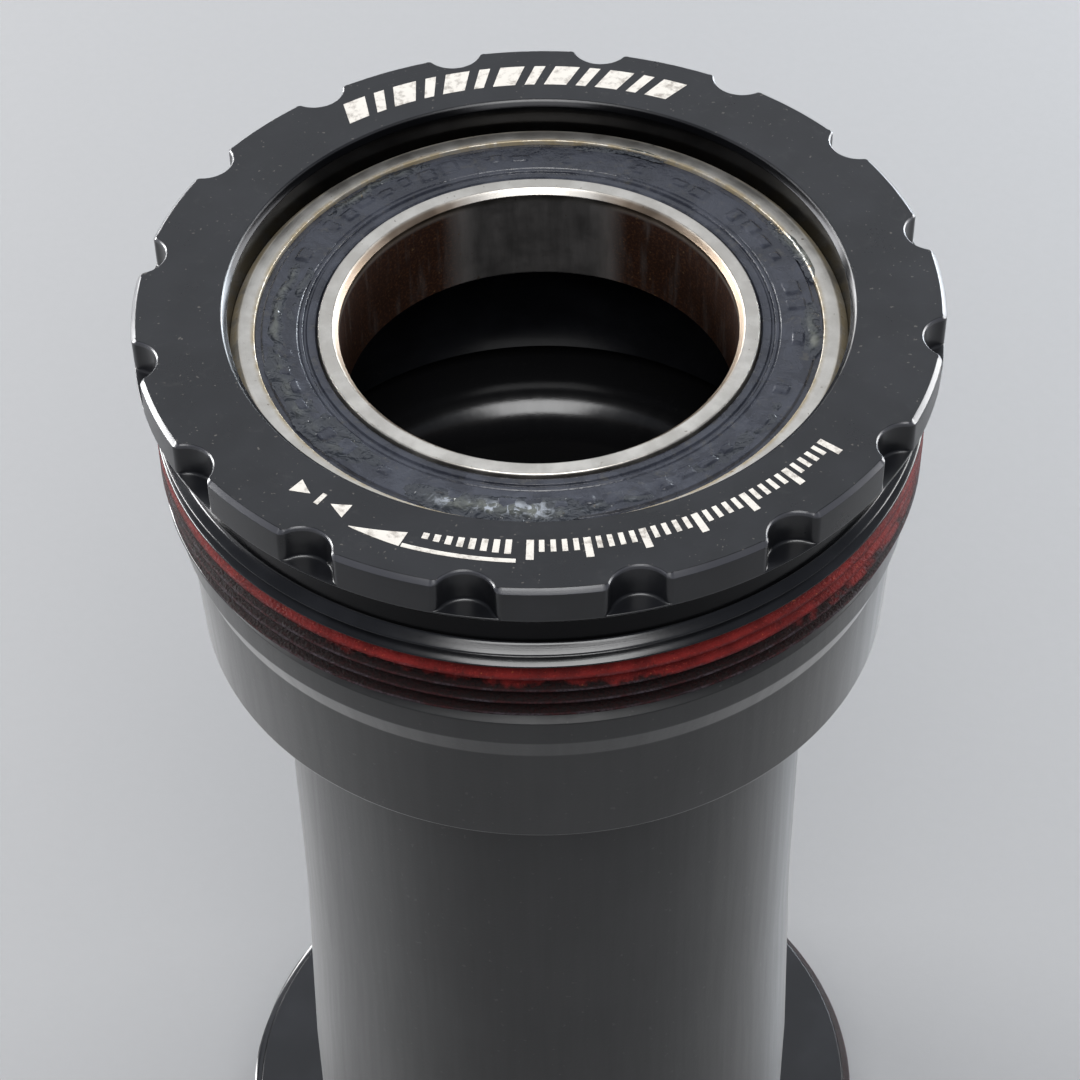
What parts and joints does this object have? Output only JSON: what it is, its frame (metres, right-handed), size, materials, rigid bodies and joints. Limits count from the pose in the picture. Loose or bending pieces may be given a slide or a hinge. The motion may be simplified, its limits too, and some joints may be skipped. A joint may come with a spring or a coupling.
{
  "type": "bottom bracket",
  "caption": "Threaded bottom bracket: two notched screw-in cups with sealed ball bearings, joined by a stepped centre sleeve.",
  "frame": {"origin": "on the spindle axis, half way between the two flange faces", "axes": "+Z along the spindle axis towards the left (non-drive) cup; -Z is the right (drive) side"},
  "size_m": [0.0484, 0.0482, 0.0926],
  "materials": {
    "anodised_black": "satin black anodised, glossier in the thread relief",
    "sleeve_plastic": "satin dark grey moulded",
    "bearing_steel": "ground bearing steel, rust-stained in the bore",
    "ball_steel": "polished",
    "cage_nylon": "moulded nylon",
    "seal_rubber": "blue-black moulded rubber, greasy",
    "insert_steel": "pressed sheet",
    "o_ring_rubber": "satin",
    "laser_mark": "pale laser marking",
    "threadlocker": "dry granular coating",
    "grease": "wet smears"
  },
  "bodies": {
    "sleeve": {"centre_sleeve": "sleeve_plastic"},
    "left_seal_ring": {"left_o_ring": "o_ring_rubber"},
    "left_cup": {"left_cup": "anodised_black", "left_bearing_outer_ring": "bearing_steel", "left_bearing_outer_seal": "seal_rubber", "left_bearing_outer_seal_insert": "insert_steel", "left_bearing_inner_seal": "seal_rubber", "left_bearing_inner_seal_insert": "insert_steel"},
    "left_spindle_ring": {"left_bearing_inner_ring": "bearing_steel"},
    "left_ball_set": {"left_bearing_balls": "ball_steel", "left_bearing_cage": "cage_nylon"},
    "right_seal_ring": {"right_o_ring": "o_ring_rubber"},
    "right_cup": {"right_cup": "anodised_black", "right_bearing_outer_ring": "bearing_steel", "right_bearing_outer_seal": "seal_rubber", "right_bearing_outer_seal_insert": "insert_steel", "right_bearing_inner_seal": "seal_rubber", "right_bearing_inner_seal_insert": "insert_steel"},
    "right_spindle_ring": {"right_bearing_inner_ring": "bearing_steel"},
    "right_ball_set": {"right_bearing_balls": "ball_steel", "right_bearing_cage": "cage_nylon"}
  },
  "joints": [
    {"name": "left_cup_travel", "type": "slide", "parent": "sleeve", "child": "left_seal_ring", "axis": [0, 0, 1], "range_m": [0, 0.0055]},
    {"name": "left_cup_turn", "type": "hinge", "parent": "left_seal_ring", "child": "left_cup", "pos_m": [0, 0, 0.0375], "axis": [0, 0, 1], "range_deg": [0, 1980]},
    {"name": "left_spindle_spin", "type": "hinge", "parent": "left_cup", "child": "left_spindle_ring", "pos_m": [0, 0, 0.04085], "axis": [0, 0, 1], "continuous": true},
    {"name": "left_balls_roll", "type": "hinge", "parent": "left_cup", "child": "left_ball_set", "pos_m": [0, 0, 0.04085], "axis": [0, 0, 1], "continuous": true},
    {"name": "right_cup_travel", "type": "slide", "parent": "sleeve", "child": "right_seal_ring", "axis": [0, 0, -1], "range_m": [0, 0.0055]},
    {"name": "right_cup_turn", "type": "hinge", "parent": "right_seal_ring", "child": "right_cup", "pos_m": [0, 0, -0.0375], "axis": [0, 0, 1], "range_deg": [0, 1980]},
    {"name": "right_spindle_spin", "type": "hinge", "parent": "right_cup", "child": "right_spindle_ring", "pos_m": [0, 0, -0.04085], "axis": [0, 0, 1], "continuous": true},
    {"name": "right_balls_roll", "type": "hinge", "parent": "right_cup", "child": "right_ball_set", "pos_m": [0, 0, -0.04085], "axis": [0, 0, 1], "continuous": true}
  ],
  "couplings": [
    {"joint": "left_cup_travel", "follows": "left_cup_turn", "m_per_rad": 0.00015915},
    {"joint": "left_balls_roll", "follows": "left_spindle_spin", "ratio": 0.4426},
    {"joint": "right_cup_travel", "follows": "right_cup_turn", "m_per_rad": 0.00015915},
    {"joint": "right_balls_roll", "follows": "right_spindle_spin", "ratio": 0.4426}
  ]
}
